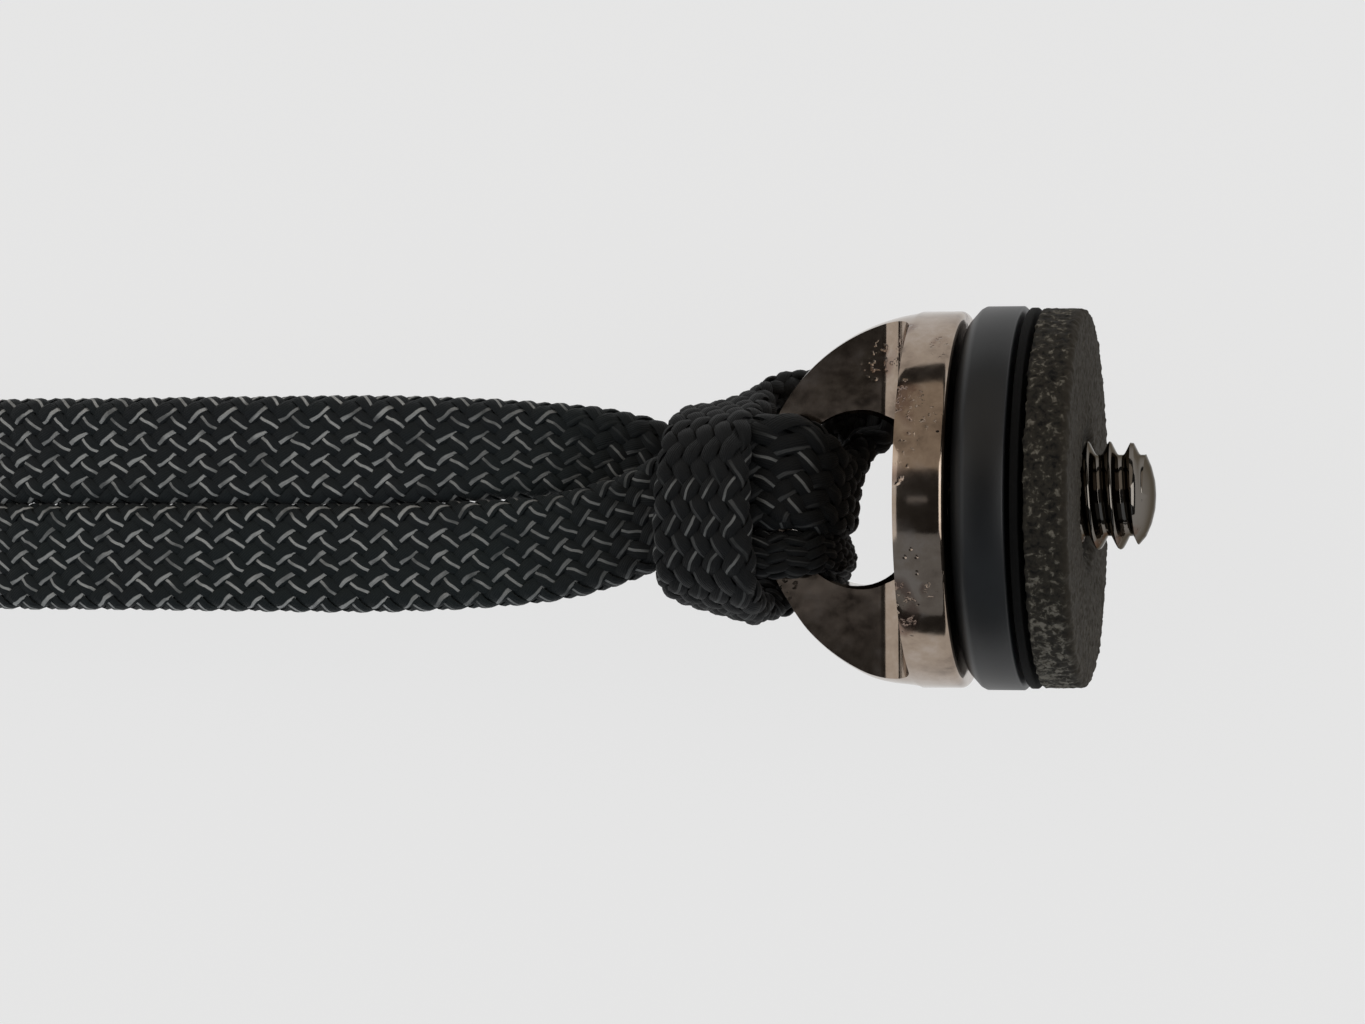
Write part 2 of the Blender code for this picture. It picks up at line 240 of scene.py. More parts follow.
stud = {
    "domeRadius": 0.01094,
    "domeCentreBack": 0.00135,
    "flangeThickness": 0.0029,
    "leftChamfer": 0.00033,
    "rightRound": 0.0004,
    "slabThickness": 0.0050,
    "slabFillet": 0.0020,
    "slabDish": 0.00020,
    "slabTaper": 0.00015,  # how much thinner each side gets from the flange to the end of the loop
    "barWidth": 0.0022,
    "sideWall": 0.00594,
    # the two shares of the hole's corners have to stay below 1 together, or the whole stud is cut away
    "barCornerShare": 0.54,
    "flangeCornerShare": 0.45,
    "holeChamfer": 0.0003,
    "shankRadius": 0.00278,
    "shankLength": 0.0025,
    # the loop's lower edge bulges a little: by how much, over which length past the flange, and from how far below
    # the axis over which height
    "lowerFullness": 0.028,
    "fullnessRun": 0.003,
    "fullnessFrom": 0.0055,
    "fullnessRise": 0.002,
    "drop": 0.00008,  # how far the flange and the loop sit below the axis in the picture's plane
    # where the pits gather on the flange: x from the flange's face, y, radius
    "pitSpots": (
        (-0.0010, -0.0052, 0.0006), (-0.0010, 0.0044, 0.0009),
        (-0.0020, 0.0031, 0.0008), (-0.0008, 0.0086, 0.0007), (-0.0048, 0.0086, 0.0006),
    ),
    # dimples that catch the light: x from the flange's face, y, radius
    "dimples": (
        (-0.00224, -0.0033, 0.00017), (-0.00157, -0.0033, 0.00016), (-0.00187, -0.00286, 0.00014),
        (-0.00160, -0.0042, 0.00020), (-0.00030, -0.0044, 0.00040), (-0.00040, 0.0036, 0.00022),
    ),
    "turnSteps": 192,
    "domeSteps": 48,
    "roundSteps": 5,
    "filletSteps": 14,
    "holeBarSteps": 20,
    "holeFlangeSteps": 12,
    "sharp": 28.0,
}
thread = {
    "crest": 0.00313,
    "rise": 0.00016,  # the screw sits this far above the axis
    "pitch": 0.00127,
    "depth": 0.000779,
    "start": 0.00024,  # where the first root lies along the axis
    "turnSteps": 72,
    "turnedBy": -0.07,
    # how far each step of the rounded point lies from its end, and its radius
    "point": (
        (0.00260, 0.0034), (0.00230, 0.00317), (0.00112, 0.0030), (0.00092, 0.00278),
        (0.00058, 0.00238), (0.00028, 0.00168), (0.00008, 0.0009),
    ),
    "pointBulge": 0.0002,
    "pointSteps": 96,
    "cutFrom": 0.0021,  # the screw begins here, inside the shank
    "sharp": 45.0,
}


def studProfile(s):
    stop = math.degrees(math.acos((s["flangeThickness"] - s["domeCentreBack"]) / s["domeRadius"]))
    dome = arc(-s["domeCentreBack"], 0.0, s["domeRadius"], 180.0, 180.0 - stop, s["domeSteps"])
    dome[0] = (dome[0][0], 0.0)
    cham = s["leftChamfer"]
    left = [(-s["flangeThickness"] + cham, s["domeRadius"])]
    right = arc(-s["rightRound"], s["domeRadius"] - s["rightRound"], s["rightRound"], 90.0, 0.0, s["roundSteps"])
    shank = [(0.0, s["shankRadius"]), (s["shankLength"], s["shankRadius"]), (s["shankLength"], 0.0)]
    return dome + left + right + shank


def millCutter(s, face):
    # the stock milled off one side: a faintly dished floor that runs up a fillet to the flange
    half = s["slabThickness"] / 2
    near = domeEnd - s["slabFillet"]
    top = s["domeRadius"] + s["slabFillet"]
    end = -s["flangeThickness"] - s["slabFillet"]
    outline = [(near, half - s["slabTaper"]), (near, top), (-s["flangeThickness"], top)]
    steps = s["filletSteps"]
    outline += arc(end, half + s["slabFillet"], s["slabFillet"], 0.0, -90.0, steps)
    for i in range(1, steps):
        share = i / steps
        drop = s["slabDish"] * math.sin(math.pi * share) + s["slabTaper"] * share
        outline.append((end + (near - end) * share, half - drop))
    bm = bmesh.new()
    verts = [bm.verts.new(place(x, -top, face * z)) for x, z in outline]
    raised = bmesh.ops.extrude_face_region(bm, geom=[bm.faces.new(verts)])
    moved = [v for v in raised["geom"] if isinstance(v, bmesh.types.BMVert)]
    bmesh.ops.translate(bm, verts=moved, vec=(0, 2 * top, 0))
    return bm


def holeOutline(s, grow):
    flangeSide = -s["flangeThickness"] - gap / 3
    barSide = domeEnd + s["barWidth"] - grow
    top = s["domeRadius"] - s["sideWall"] + grow
    length = flangeSide - barSide - grow
    near = s["barCornerShare"] * length + grow
    far = s["flangeCornerShare"] * length
    outline = arc(flangeSide - far, top - far, far, 0.0, 90.0, s["holeFlangeSteps"])
    outline += arc(barSide + near, top - near, near, 90.0, 180.0, s["holeBarSteps"])
    outline += arc(barSide + near, near - top, near, 180.0, 270.0, s["holeBarSteps"])
    outline += arc(flangeSide - far, far - top, far, 270.0, 360.0, s["holeFlangeSteps"])
    return outline


def holeCutter(s, levels):
    # a prism through the outlines at some levels, each with its own allowance
    bm = bmesh.new()
    rims = []
    for level, grow in levels:
        verts = [bm.verts.new(place(x, y, level)) for x, y in holeOutline(s, grow)]
        rims.append([bm.edges.new(pair) for pair in zip(verts, verts[1:] + verts[:1])])
    for low, high in zip(rims, rims[1:]):
        bmesh.ops.bridge_loops(bm, edges=low + high)
    bmesh.ops.holes_fill(bm, edges=rims[0] + rims[-1], sides=0)
    return bm


def makeStud(s, metal):
    turned = turnProfile(studProfile(s), s["turnSteps"])
    piece = finishPiece("studLoopAndFlange", turned, metal, "loop_stud")
    addCut(piece, millCutter(s, 1.0))
    addCut(piece, millCutter(s, -1.0))
    half = s["slabThickness"] / 2
    cham = s["holeChamfer"]
    flared = ((-half - cham, 2 * cham), (-half + cham, 0.0), (half - cham, 0.0), (half + cham, 2 * cham))
    addCut(piece, holeCutter(s, ((-2.2 * half, 0.0), (2.2 * half, 0.0))))
    addCut(piece, holeCutter(s, flared))
    bakeModifiers(piece)
    for vertex in piece.data.vertices:
        past = min(max((flangeFace - s["flangeThickness"] - vertex.co.x) / s["fullnessRun"], 0.0), 1.0)
        past *= min(max((-vertex.co.y - s["fullnessFrom"]) / s["fullnessRise"], 0.0), 1.0)
        vertex.co.y *= 1.0 + s["lowerFullness"] * past * past * (3.0 - 2.0 * past)
    piece.data.transform(Matrix.Translation((0.0, -s["drop"], 0.0)))
    piece.data.set_sharp_from_angle(angle=math.radians(s["sharp"]))


def makeThread(t, metal):
    # one turn's form, root to root, as shares of the pitch and of the thread's depth
    form = ((0.0, 0.0), (0.10, 0.0), (0.16, 0.08), (0.22, 0.26), (0.38, 0.78), (0.44, 0.95), (0.50, 1.0))
    form += ((0.56, 0.95), (0.62, 0.78), (0.78, 0.26), (0.84, 0.08), (0.90, 0.0), (1.0, 0.0))
    root = t["crest"] - t["depth"]
    start = t["start"]
    turns = math.ceil((screwTip - start) / t["pitch"]) + 1
    bm = bmesh.new()
    verts = [bm.verts.new(place(start + a * t["pitch"], 0.0, root + b * t["depth"])) for a, b in form]
    edges = [bm.edges.new(pair) for pair in zip(verts, verts[1:])]
    bmesh.ops.rotate(bm, verts=verts, cent=place(0, 0, 0), matrix=Matrix.Rotation(t["turnedBy"], 3, "X"))
    bmesh.ops.spin(
        bm, geom=verts + edges, cent=place(0, 0, 0), axis=(1, 0, 0), angle=math.tau * turns,
        steps=t["turnSteps"] * turns, dvec=(t["pitch"] / t["turnSteps"], 0, 0),
    )
    bmesh.ops.remove_doubles(bm, verts=bm.verts, dist=1e-6)
    caps = bmesh.ops.holes_fill(bm, edges=bm.edges, sides=0)["faces"]
    bmesh.ops.poke(bm, faces=caps)
    bmesh.ops.recalc_face_normals(bm, faces=bm.faces)
    piece = finishPiece("studScrew", bm, metal, "loop_stud", 50.0)
    end = screwTip + t["pointBulge"]
    bar = [(t["cutFrom"], 0.0), (t["cutFrom"], t["point"][0][1])]
    bar += [(end - behind, radius) for behind, radius in t["point"]] + [(end, 0.0)]
    addCut(piece, turnProfile(bar, t["pointSteps"]), "INTERSECT")
    bakeModifiers(piece)
    piece.data.transform(Matrix.Translation((0.0, t["rise"], 0.0)))
    piece.data.set_sharp_from_angle(angle=math.radians(t["sharp"]))


def makeGunmetal():
    # Black-nickel plating on polished steel: a dark warm mirror with cloudy stains, a slightly uneven surface
    # and clusters of small casting pits. The screw is tinted darker than the flange as painted shade.
    material, tree, shader = newMaterial("black nickel plated steel", 0.1, 1.0)
    where = addNode(tree, "ShaderNodeTexCoord").outputs["Object"]
    cloud = addNode(
        tree, "ShaderNodeTexNoise", values={"Scale": 460.0, "Detail": 7.0, "Roughness": 0.62}, links={"Vector": where}
    )
    tone = setRamp(
        addNode(tree, "ShaderNodeValToRGB", links={"Fac": cloud.outputs["Fac"]}),
        ((0.30, "7A6C60"), (0.42, "958577"), (0.52, "A09081"), (0.64, "AB9D91")),
    )
    along = addNode(tree, "ShaderNodeSeparateXYZ", links={"Vector": where})
    # painted shade: the screw's part gets a darker base tint and a greyer specular tint than the flange
    onScrew = addNode(
        tree, "ShaderNodeMapRange",
        values={"From Min": flangeFace + 0.0023, "From Max": flangeFace + 0.0025, "To Min": 0.0, "To Max": 1.0},
        links={"Value": along.outputs["X"]},
    )
    platingAndScrewShade = addNode(
        tree, "ShaderNodeMix", {"data_type": "RGBA"}, {7: hexColour("746F69")},
        {0: onScrew.outputs["Result"], 6: tone.outputs["Color"]},
    )
    rim = addNode(
        tree, "ShaderNodeMix", {"data_type": "RGBA"}, {6: (1.0, 1.0, 1.0, 1.0), 7: hexColour("A09D98")},
        {0: onScrew.outputs["Result"]},
    )
    tree.links.new(rim.outputs[2], shader.inputs["Specular Tint"])
    haze = addNode(
        tree, "ShaderNodeMapRange", values={"From Min": 0.35, "From Max": 0.70, "To Min": 0.06, "To Max": 0.17},
        links={"Value": cloud.outputs["Fac"]},
    )
    tree.links.new(haze.outputs["Result"], shader.inputs["Roughness"])
    # waves of about 2 mm left by hand polishing
    wave = addNode(
        tree, "ShaderNodeTexNoise", values={"Scale": 520.0, "Detail": 2.0, "Roughness": 0.4}, links={"Vector": where}
    )
    waves = addNode(
        tree, "ShaderNodeBump", values={"Strength": 1.0, "Distance": 0.000013}, links={"Height": wave.outputs["Fac"]}
    )
    # pits of 0.1 to 0.3 mm, gathered in patches and in the listed spots
    patch = addNode(tree, "ShaderNodeTexNoise", values={"Scale": 230.0, "Detail": 1.0}, links={"Vector": where})
    inPatch = addNode(
        tree, "ShaderNodeMapRange", values={"From Min": 0.60, "From Max": 0.66}, links={"Value": patch.outputs["Fac"]}
    )
    seenFromAbove = addNode(tree, "ShaderNodeVectorMath", {"operation": "MULTIPLY"}, {1: (1.0, 1.0, 0.0)}, {0: where})
    zoneMask = inPatch.outputs["Result"]
    for x, y, radius in stud["pitSpots"]:
        away = addNode(
            tree, "ShaderNodeVectorMath", {"operation": "DISTANCE"}, {1: (flangeFace + x, y, 0.0)},
            {0: seenFromAbove.outputs["Vector"]},
        )
        spot = addNode(
            tree, "ShaderNodeMapRange", values={"From Min": radius, "From Max": 0.6 * radius},
            links={"Value": away.outputs["Value"]},
        )
        wider = addNode(
            tree, "ShaderNodeMath", {"operation": "MAXIMUM"}, None, {0: zoneMask, 1: spot.outputs["Result"]}
        )
        zoneMask = wider.outputs["Value"]
    blotch = addNode(
        tree, "ShaderNodeMapRange", values={"From Min": 0.48, "From Max": 0.58, "To Min": 0.0, "To Max": 0.62},
        links={"Value": cloud.outputs["Fac"]},
    )
    stained = addNode(
        tree, "ShaderNodeMath", {"operation": "MULTIPLY"}, None, {0: zoneMask, 1: blotch.outputs["Result"]}
    )
    stain = addNode(
        tree, "ShaderNodeMix", {"data_type": "RGBA"}, {7: hexColour("64483B")},
        {0: stained.outputs["Value"], 6: platingAndScrewShade.outputs[2]},
    )
    tree.links.new(stain.outputs[2], shader.inputs["Base Color"])
    pit = addNode(tree, "ShaderNodeTexNoise", values={"Scale": 2600.0, "Detail": 2.0}, links={"Vector": where})
    pitDepth = addNode(
        tree, "ShaderNodeMapRange", values={"From Min": 0.58, "From Max": 0.72}, links={"Value": pit.outputs["Fac"]}
    )
    pits = addNode(
        tree, "ShaderNodeMath", {"operation": "MULTIPLY"}, None, {0: pitDepth.outputs["Result"], 1: zoneMask}
    )
    depth = pits.outputs["Value"]
    for x, y, radius in stud["dimples"]:
        away = addNode(
            tree, "ShaderNodeVectorMath", {"operation": "DISTANCE"}, {1: (flangeFace + x, y, 0.0)},
            {0: seenFromAbove.outputs["Vector"]},
        )
        dimple = addNode(
            tree, "ShaderNodeMapRange", {"interpolation_type": "SMOOTHSTEP"}, {"From Min": radius, "From Max": 0.0},
            {"Value": away.outputs["Value"]},
        )
        deeper = addNode(
            tree, "ShaderNodeMath", {"operation": "MAXIMUM"}, None, {0: depth, 1: dimple.outputs["Result"]}
        )
        depth = deeper.outputs["Value"]
    dents = addNode(
        tree, "ShaderNodeBump", {"invert": True}, {"Strength": 1.0, "Distance": 0.00005},
        {"Height": depth, "Normal": waves.outputs["Normal"]},
    )
    tree.links.new(dents.outputs["Normal"], shader.inputs["Normal"])
    return material


gunmetal = makeGunmetal()
makeStud(stud, gunmetal)
makeThread(thread, gunmetal)
print("stud made")

# ---- discs ----

discs = {
    "rimSlack": 0.00007,
    "boreRadius": 0.003475,
    "spacerChamfer": 0.00078,
    "spacerEdge": 0.00012,
    "gasketSink": 0.00016,
    "gasketEdge": 0.00008,
    "washerCorner": 0.00045,
    "washerEdge": 0.0001,
    "washerSlack": 0.00005,
    "washerRagged": 0.00020,
    "washerBore": 0.00319,
    "washerSink": 0.0009,
    "washerTurnSteps": 640,
    "washerBackSteps": 14,
    "washerRimSteps": 17,
    "washerFaceSteps": 56,
    "turnSteps": 160,
}


def discEnds(node):
    low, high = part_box(node)
    return low[0] - flangeFace, high[0] - flangeFace, (high[2] - low[2]) / 2 - discs["rimSlack"]


def makeSpacer(d, material):
    start, end, radius = discEnds("spacer_disc")
    cham = d["spacerChamfer"]
    edge = d["spacerEdge"]
    profile = [(start, d["boreRadius"]), (start, radius - cham - edge), (start + edge, radius - cham + edge / 2)]
    profile += [(start + cham - edge, radius - edge), (start + cham + edge, radius), (end - edge, radius)]
    profile += [(end, radius - edge), (end, d["boreRadius"])]
    turned = turnProfile(profile, d["turnSteps"])
    finishPiece("spacerDisc", turned, material, "spacer_disc", 60.0)


def makeGasket(d, material):
    start, end, radius = discEnds("gasket_ring")
    rim = radius - d["gasketSink"]
    edge = d["gasketEdge"]
    profile = [(start, d["boreRadius"]), (start, rim - edge), (start + edge, rim), (end - edge, rim)]
    profile += [(end, rim - edge), (end, d["boreRadius"])]
    turned = turnProfile(profile, d["turnSteps"])
    finishPiece("gasketRing", turned, material, "gasket_ring", 60.0)


def makeWasher(d, material):
    # a turned disc, cut up finely and roughened, because its torn rim shows against the light
    start, end, radius = discEnds("grip_washer")
    corner = d["washerCorner"]
    inner = d["washerBore"]
    edge = d["washerEdge"]
    rim = radius - d["washerSlack"]
    steps = d["washerBackSteps"]
    profile = [(start, inner + (rim - edge - inner) * i / steps) for i in range(steps + 1)]
    steps = d["washerRimSteps"]
    profile += [(start + edge + (end - corner - start - edge) * i / steps, rim) for i in range(steps + 1)]
    profile += arc(end - corner, rim - corner, corner, 75.0, 0.0, 5)
    sunk = d["washerSink"]
    steps = d["washerFaceSteps"]
    for i in range(1, steps + 1):
        radius = rim - corner - (rim - corner - inner) * i / steps
        profile.append((end - sunk * max(0.0, 1.0 - (radius - inner) / (1.3 * sunk)), radius))
    bm = turnProfile(profile, d["washerTurnSteps"])
    piece = finishPiece("gripWasher", bm, material, "grip_washer", 80.0)
    ragged = d["washerRagged"]
    for name, size, strength in (("tornGrain", 0.00055, ragged), ("fineGrain", 0.00022, 0.6 * ragged)):
        grain = bpy.data.textures.new(name, "CLOUDS")
        grain.noise_scale = size
        grain.noise_depth = 1
        roughen = piece.modifiers.new(name, "DISPLACE")
        roughen.texture = grain
        roughen.texture_coords = "LOCAL"
        roughen.strength = strength
        roughen.mid_level = 0.55
    bakeModifiers(piece)


def makeSpacerPlastic():
    # Moulded acetal: black with a soft even satin, finely textured by its mould.
    material, tree, shader = newMaterial("moulded satin acetal", 0.42, IOR=1.48)
    where = addNode(tree, "ShaderNodeTexCoord").outputs["Object"]
    grain = addNode(tree, "ShaderNodeTexNoise", values={"Scale": 5200.0, "Detail": 3.0}, links={"Vector": where})
    smear = addNode(tree, "ShaderNodeTexNoise", values={"Scale": 260.0, "Detail": 3.0}, links={"Vector": where})
    tone = setRamp(
        addNode(tree, "ShaderNodeValToRGB", links={"Fac": smear.outputs["Fac"]}), ((0.35, "151618"), (0.65, "1C1E20"))
    )
    tree.links.new(tone.outputs["Color"], shader.inputs["Base Color"])
    bump = addNode(
        tree, "ShaderNodeBump", values={"Strength": 0.10, "Distance": 0.00003}, links={"Height": grain.outputs["Fac"]}
    )
    tree.links.new(bump.outputs["Normal"], shader.inputs["Normal"])
    return material


def makeGasketRubber():
    # Die-cut nitrile rubber: dull black, painted blacker than rubber as painted shade for the gap between spacer and
    # washer.
    material, tree, shader = newMaterial("die-cut nitrile rubber", 0.85, Specular_IOR_Level=0.2)
    where = addNode(tree, "ShaderNodeTexCoord").outputs["Object"]
    grain = addNode(tree, "ShaderNodeTexNoise", values={"Scale": 3000.0, "Detail": 2.0}, links={"Vector": where})
    # painted shade: near black, darker than the rubber's own colour
    tone = setRamp(
        addNode(tree, "ShaderNodeValToRGB", links={"Fac": grain.outputs["Fac"]}), ((0.3, "050505"), (0.7, "0B0B0B"))
    )
    tree.links.new(tone.outputs["Color"], shader.inputs["Base Color"])
    bump = addNode(
        tree, "ShaderNodeBump", values={"Strength": 0.2, "Distance": 0.00003}, links={"Height": grain.outputs["Fac"]}
    )
    tree.links.new(bump.outputs["Normal"], shader.inputs["Normal"])
    return material


def makeGripRubber():
    # Bonded cork and rubber crumb: brown black, with torn pale crumbs and holes of 0.2 to 0.4 mm on the rim, the
    # holes painted near black as painted shade. The pressed face shows them less.
    material, tree, shader = newMaterial("bonded crumb rubber", 0.88, Specular_IOR_Level=0.3)
    where = addNode(tree, "ShaderNodeTexCoord").outputs["Object"]
    crumb = addNode(
        tree, "ShaderNodeTexNoise", values={"Scale": 2300.0, "Detail": 3.0, "Roughness": 0.62, "Distortion": 0.4},
        links={"Vector": where},
    )
    along = addNode(tree, "ShaderNodeSeparateXYZ", links={"Vector": where})
    # more pale crumbs towards -Y, growing from 3 to 9 mm off the axis
    unevenness = addNode(
        tree, "ShaderNodeMapRange", values={"From Min": -0.003, "From Max": -0.009, "To Min": 0.0, "To Max": 0.085},
        links={"Value": along.outputs["Y"]},
    )
    torn = addNode(
        tree, "ShaderNodeMath", {"operation": "ADD"}, None, {0: crumb.outputs["Fac"], 1: unevenness.outputs["Result"]}
    )
    # painted shade: the lowest part of the grain, which the bump also sinks into holes, is painted near black
    tone = setRamp(
        addNode(tree, "ShaderNodeValToRGB", links={"Fac": torn.outputs["Value"]}),
        ((0.34, "0B0A08"), (0.43, "27241F"), (0.57, "35322B"), (0.63, "605C53"), (0.72, "7D796F")),
    )
    faceEnd = discEnds("grip_washer")[1] + flangeFace
    onFace = addNode(
        tree, "ShaderNodeMapRange",
        values={"From Min": faceEnd - 0.0006, "From Max": faceEnd - 0.0002, "To Min": 0.0, "To Max": 0.85},
        links={"Value": along.outputs["X"]},
    )
    mixed = addNode(
        tree, "ShaderNodeMix", {"data_type": "RGBA"}, {7: hexColour("302B23")},
        {0: onFace.outputs["Result"], 6: tone.outputs["Color"]},
    )
    tree.links.new(mixed.outputs[2], shader.inputs["Base Color"])
    bump = addNode(
        tree, "ShaderNodeBump", values={"Strength": 0.6, "Distance": 0.00008}, links={"Height": crumb.outputs["Fac"]}
    )
    tree.links.new(bump.outputs["Normal"], shader.inputs["Normal"])
    return material


makeSpacer(discs, makeSpacerPlastic())
makeGasket(discs, makeGasketRubber())
makeWasher(discs, makeGripRubber())
print("discs made")

# ---- braided strap ----

strap = {
    "width": 0.00605,
    "thickness": 0.00205,
    "reach": 0.1700,
    "wristLoopWidth": 0.0620,
    "legFullness": 1.095,
    "legShift": -0.00030,  # across, as the photographed legs lie
    "rowShift": (0.024, 0.016),  # how far the upper and lower leg's rows are turned round the tube, in outlines
    "alongShift": 0.00018,
    "tracerSwitch": 0.475,  # the share of the loop's length where the tracer changes sides, behind the stud
    "carriers": 10,  # each way round the braid
    "crossings": 460,  # along the whole loop; a multiple of twice the carriers closes each strand on itself
    "weaveHeight": 0.00017,
    "strandHalfWidth": 0.00051,
    "strandHalfHeight": 0.00021,
    "fineStart": 0.345,  # shares of the loop's length between which the photographed part lies
    "fineEnd": 0.655,
    "fineSteps": 6,
    "plainSteps": 3,
    "strandSides": 8,
    "coreSteps": 700,
    "coreSides": 16,
    "splineSteps": 60,
    "routeSteps": 9000,
    "smoothing": 8,  # how many stations on each side are averaged along the route
    # how much the tracer shows, in mm from the flange's face, on the strands of either hand
    "tracerAlong": (-36.0, -25.0, -17.0),
    "tracerShown": ((1.0, 0.56, 0.40), (1.0, 0.48, 0.14)),
}


def legStations(s, face):
    width = s["width"]
    flat = -axisHeight + s["thickness"] / 2
    edge = -axisHeight + width / 2
    beside = s["legFullness"] * width / 2 - 0.00010
    across = s["wristLoopWidth"] / 2 - s["thickness"] / 2
    far = domeEnd - s["reach"] + s["thickness"] / 2
    reach = s["reach"]
    onEdge = (0.0, 0.0, 1.0)
    level = (0.0, face, 0.0)
    rows = (
        (far, 0.0, edge, onEdge),
        (far + 0.035 * reach, 0.50 * across, edge, onEdge),
        (far + 0.110 * reach, 0.86 * across, edge, onEdge),
        (far + 0.210 * reach, across, edge, onEdge),
        (far + 0.310 * reach, 0.92 * across, edge, onEdge),
        (far + 0.420 * reach, 0.68 * across, edge, onEdge),
        (far + 0.520 * reach, 0.42 * across, edge + 0.01 * width, (0.0, 0.45 * face, 0.9)),
        (far + 0.600 * reach, 0.5 * beside + 0.16 * across, flat + 0.30 * width, (0.0, 0.9 * face, 0.45)),
        (far + 0.670 * reach, 1.08 * beside, flat + 0.34 * axisHeight, level),
        (far + 0.730 * reach, beside, flat + 0.62 * axisHeight, level),
        (far + 0.795 * reach, beside, flat + 0.76 * axisHeight, level),
        (far + 0.862 * reach, beside, flat + 0.80 * axisHeight, level),
    )
    full = [0.0] * 7 + [0.6, 1.0, 1.0, 1.0, 1.0]
    return [
        (x, face * y + s["legShift"] * near, z - 0.00012 * face * near, wide, 1 + (s["legFullness"] - 1) * near, 1.0)
        for (x, y, z, wide), near in zip(rows, full)
    ]


def strapStations(s):
    # point, width direction, share of the width, share of the thickness; close to the solid strap's route
    width = s["width"]
    thick = s["thickness"]
    front = stud["slabThickness"] / 2 + gap + thick / 2
    bar = domeEnd + stud["barWidth"] / 2
    collar = bar - 0.61 * width
    under = (
        (bar - 2.40 * width, 0.47 * width, -0.80 * thick, (0.0, 1.0, -0.12), 0.98, 1.0),
        (bar - 1.62 * width, 0.40 * width, -0.72 * thick, (0.0, 1.0, 0.0), 0.92, 1.0),
        (bar - 1.16 * width, 0.25 * width, -0.44 * thick, (0.0, 1.0, 0.0), 0.86, 0.96),
        (bar - 0.76 * width, -0.16 * width, -0.12 * thick, (0.0, 1.0, 0.0), 0.56, 0.96),
        (bar - 0.42 * width, -0.49 * width, 0.50 * thick, (0.0, 1.0, 0.0), 0.50, 0.98),
        (bar - 0.14 * width, -0.53 * width, front + 0.02 * thick, (0.0, 1.0, 0.0), 0.48, 1.0),
        (bar + 0.20 * width, -0.54 * width, front + 0.06 * thick, (0.0, 1.0, 0.0), 0.48, 1.0),
        (bar + 0.44 * width, -0.49 * width, 0.78 * front, (-0.15, 0.98, 0.0), 0.47, 0.92),
        (bar + 0.53 * width, -0.48 * width, 0.0, (-0.30, 0.95, 0.0), 0.46, 0.92),
        (bar + 0.50 * width, -0.52 * width, -0.70 * front, (-0.4, 0.9, 0.0), 0.48, 0.96),
        (bar + 0.34 * width, -0.66 * width, -1.10 * front, (-0.6, 0.8, 0.0), 0.52, 1.0),
        (bar - 0.08 * width, -0.83 * width, -1.04 * front, (-0.6, 0.8, -0.1), 0.64, 1.0),
        (bar - 0.44 * width, -0.97 * width, -0.55 * front, (-0.9, 0.3, -0.45), 0.80, 1.0),
        (collar + 0.06 * width, -0.96 * width, 0.30 * front, (-1.0, 0.25, -0.2), 1.00, 1.0),
        (collar + 0.03 * width, -0.73 * width, front + 0.30 * thick, (-1.0, 0.1, -0.28), 1.08, 1.0),
    )
    over = (
        (bar - 2.40 * width, -0.50 * width, 0.04 * thick, (0.0, -1.0, 0.0), 1.06, 1.0),
        (bar - 1.62 * width, -0.33 * width, 0.46 * thick, (0.0, -1.0, 0.0), 1.04, 1.0),
        (bar - 1.16 * width, -0.14 * width, 0.78 * thick, (0.0, -1.0, 0.0), 1.0, 0.94),
        (bar - 0.76 * width, 0.10 * width, 1.10 * thick, (0.0, -1.0, 0.0), 0.98, 0.94),
        (bar - 0.42 * width, 0.19 * width, 1.62 * thick, (0.0, -1.0, 0.0), 1.04, 0.96),
        (bar - 0.12 * width, 0.23 * width, front + 0.16 * thick, (0.0, -1.0, 0.0), 1.10, 0.98),
        (bar + 0.20 * width, 0.25 * width, front + 0.20 * thick, (-0.02, -1.0, 0.0), 1.13, 1.0),
        (bar + 0.50 * width, 0.11 * width, 0.76 * front, (-0.04, -1.0, 0.0), 0.96, 1.0),
        (bar + 0.62 * width, 0.03 * width, 0.02 * front, (-0.08, -1.0, 0.0), 0.84, 1.0),
        (bar + 0.62 * width, 0.34 * width, -0.74 * front, (-0.45, -0.89, 0.0), 0.78, 1.0),
        (bar + 0.74 * width, 0.74 * width, -1.14 * front, (-0.82, -0.57, 0.0), 0.74, 1.0),
        (bar + 0.26 * width, 0.92 * width, -1.14 * front, (-0.5, -0.86, 0.0), 0.72, 1.05),
        (bar - 0.38 * width, 0.86 * width, -0.58 * front, (-0.80, -0.42, -0.4), 0.82, 1.0),
        (collar + 0.10 * width, 0.77 * width, 0.26 * front, (-1.0, -0.06, -0.25), 1.0, 1.0),
        (collar + 0.04 * width, 0.54 * width, front + 0.36 * thick, (-1.0, -0.12, -0.3), 0.98, 1.0),
    )
    middle = (collar + 0.02 * width, -0.02 * width, front + 0.84 * thick, (-1.0, 0.0, -0.3), 1.02, 1.0)
    upper = legStations(s, 1.0) + list(under)
    lower = legStations(s, -1.0) + list(over)
    return upper + [middle] + lower[:0:-1]


def splineRow(rows, perSpan):
    # a closed Catmull-Rom spline through the rows of an array
    share = (np.arange(perSpan) / perSpan)[None, :, None]
    p0, p1, p2, p3 = (np.roll(rows, shift, axis=0)[:, None, :] for shift in (1, 0, -1, -2))
    bend = (p2 - p0) * share + (2 * p0 - 5 * p1 + 4 * p2 - p3) * share**2 + (3 * p1 - p0 - 3 * p2 + p3) * share**3
    return ((2 * p1 + bend) / 2).reshape(-1, rows.shape[1])


def unit(rows):
    return rows / np.linalg.norm(rows, axis=-1, keepdims=True)


